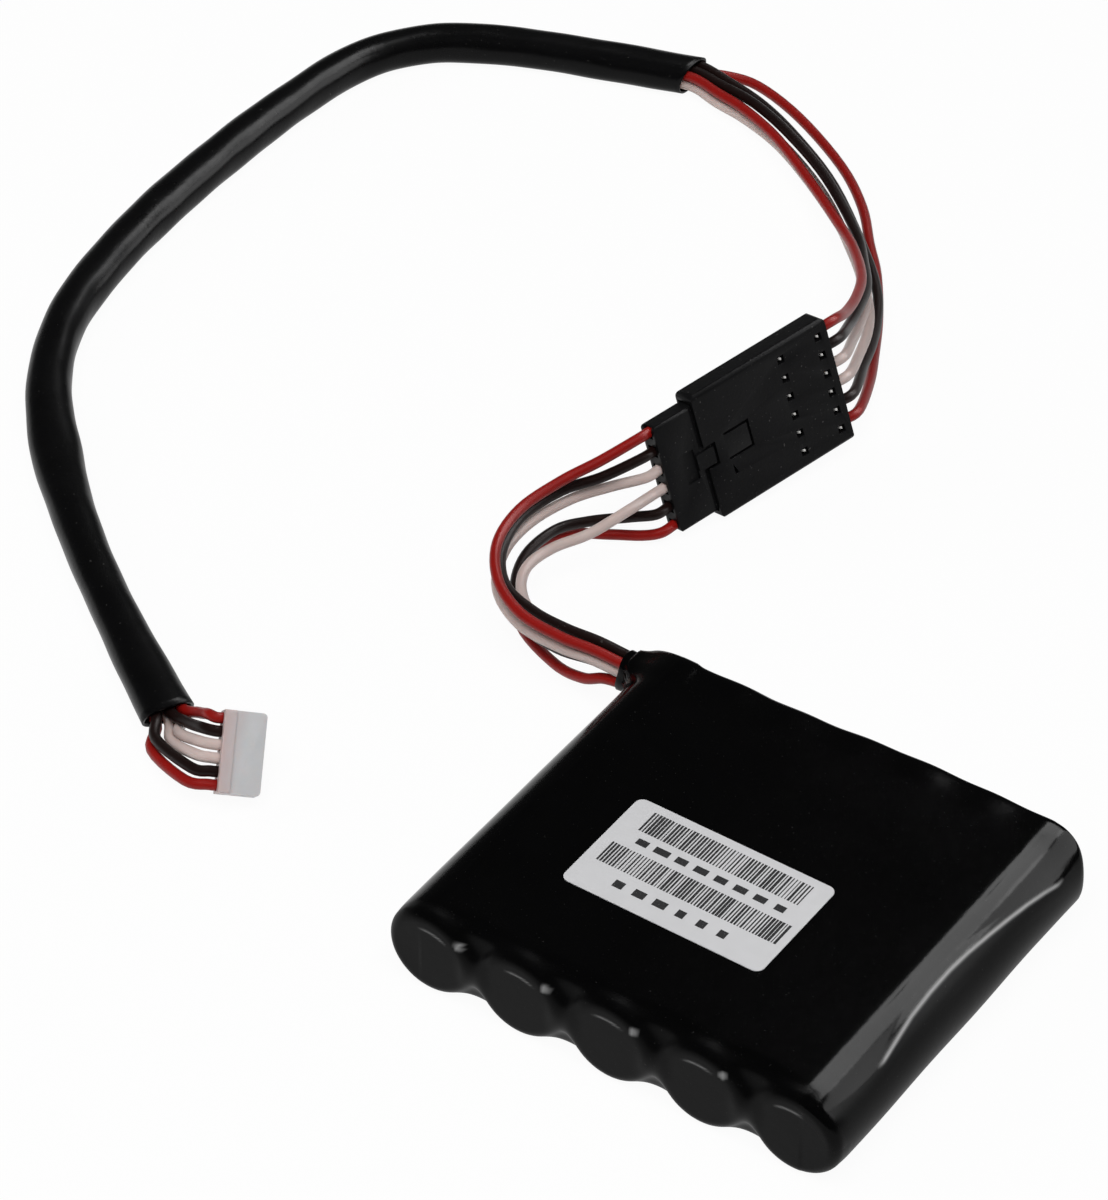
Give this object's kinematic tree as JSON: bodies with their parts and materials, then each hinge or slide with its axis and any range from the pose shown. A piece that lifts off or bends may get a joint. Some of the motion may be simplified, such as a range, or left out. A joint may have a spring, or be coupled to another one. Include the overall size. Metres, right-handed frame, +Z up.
{
  "type": "raid battery module",
  "caption": "Backup power pack for a disk controller: round capacitor cells in black shrink film, with a wired inline connector and a sleeved harness ending in a small white plug.",
  "frame": {"origin": "centre of the pack's flat underside, on the surface that it rests on", "axes": "+X across the row of cells, +Y along the cells from their bare ends to the leads, +Z up, out of the labelled face"},
  "size_m": [0.1626, 0.159, 0.0184],
  "materials": {
    "black_film": "thin glossy heat-shrink film",
    "label_paper": "printed paper label, satin",
    "cell_can": "drawn aluminium can",
    "cell_sleeve": "thin plastic sleeve",
    "fibre_card": "fibre insulating card",
    "seal_rubber": "moulded rubber seal",
    "board_green": "circuit board with solder mask",
    "chip_black": "chip body",
    "solder": "bright solder",
    "black_housing": "moulded nylon, satin",
    "tin_plate": "tin-plated metal",
    "black_tubing": "soft vinyl tubing",
    "white_nylon": "natural nylon moulding",
    "red_wire": "insulated wire",
    "black_wire": "insulated wire",
    "white_wire": "insulated wire"
  },
  "bodies": {
    "root": {"shrink_wrap": "black_film", "label": "label_paper", "cell_1": "cell_can", "cell_2": "cell_can", "cell_3": "cell_can", "cell_4": "cell_can", "cell_5": "cell_can", "cell_sleeves": "cell_sleeve", "front_discs": "fibre_card", "end_seals": "seal_rubber", "cell_pins": "tin_plate", "circuit_board": "board_green", "balance_resistors": "chip_black", "thermistor": "chip_black", "solder_joints": "solder", "pack_wire_1": "red_wire", "pack_wire_2": "black_wire", "pack_wire_3": "white_wire", "pack_wire_4": "white_wire", "pack_wire_5": "black_wire", "pack_wire_6": "red_wire", "pack_housing": "black_housing", "pack_terminals": "tin_plate", "harness_housing": "black_housing", "harness_terminals": "tin_plate", "harness_wire_1": "red_wire", "harness_wire_2": "black_wire", "harness_wire_3": "white_wire", "harness_wire_4": "white_wire", "harness_wire_5": "black_wire", "harness_wire_6": "red_wire", "harness_tube": "black_tubing", "white_plug": "white_nylon", "plug_contacts": "tin_plate"}
  },
  "joints": []
}
